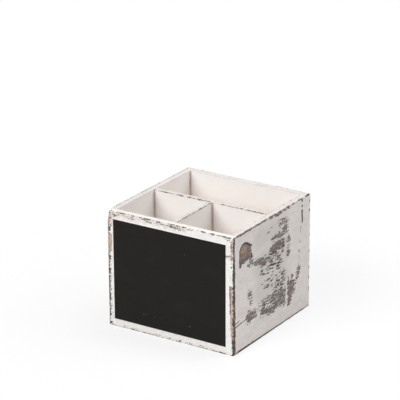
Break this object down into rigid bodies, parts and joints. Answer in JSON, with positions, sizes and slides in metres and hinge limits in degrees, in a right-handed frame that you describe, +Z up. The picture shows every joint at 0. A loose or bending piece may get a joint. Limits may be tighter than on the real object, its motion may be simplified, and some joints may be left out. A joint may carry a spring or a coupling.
{
  "type": "utensil holder",
  "caption": "Square open-top wooden utensil holder with two cutlery wells in front, a full-width napkin well behind, and a chalkboard let into the front.",
  "frame": {"origin": "on the underside, at the middle of the footprint", "axes": "+X to the right along the front, +Y from the front to the back, +Z up; the chalkboard faces -Y"},
  "size_m": [0.127, 0.127, 0.1065],
  "materials": {
    "painted_board": "white paint, sanded through to grey-brown wood along the edges and in streaks",
    "chalkboard_face": "thin hardboard with a matte black writing coat",
    "brad_steel": "plain steel, sunk below the face and painted over"
  },
  "bodies": {
    "root": {"front_panel": "painted_board", "back_panel": "painted_board", "left_side": "painted_board", "right_side": "painted_board", "base_panel": "painted_board", "partition": "painted_board", "divider": "painted_board", "chalkboard": "chalkboard_face", "corner_brads": "brad_steel", "base_brads": "brad_steel"}
  },
  "joints": []
}
